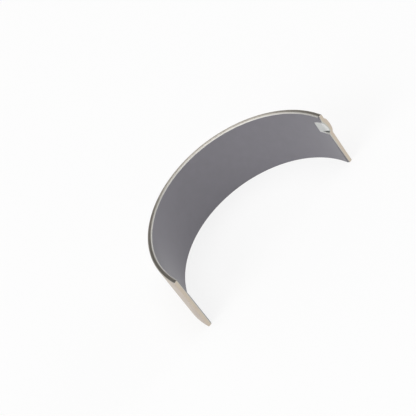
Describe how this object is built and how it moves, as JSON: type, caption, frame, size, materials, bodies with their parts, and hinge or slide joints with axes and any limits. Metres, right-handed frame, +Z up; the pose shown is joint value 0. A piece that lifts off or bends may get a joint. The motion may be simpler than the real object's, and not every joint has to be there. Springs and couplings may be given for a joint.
{
  "type": "engine bearing shell",
  "caption": "Plain half-round shell for a crankshaft journal: thin steel-backed strip with a smooth grey lining, chamfered rims, flat parting faces and a pressed locating tang at one end.",
  "frame": {"origin": "on the journal axis, level with the side face that the shell stands on", "axes": "+Z up along the journal axis; +Y from the axis to the crown of the half circle; +X in the parting plane, towards the end with the locating tang"},
  "size_m": [0.071, 0.035, 0.022],
  "materials": {
    "shell": "satin, with a matte grey lining in the bore and tin-flashed steel on the back"
  },
  "bodies": {
    "root": {"bearing_shell": "shell"}
  },
  "joints": []
}
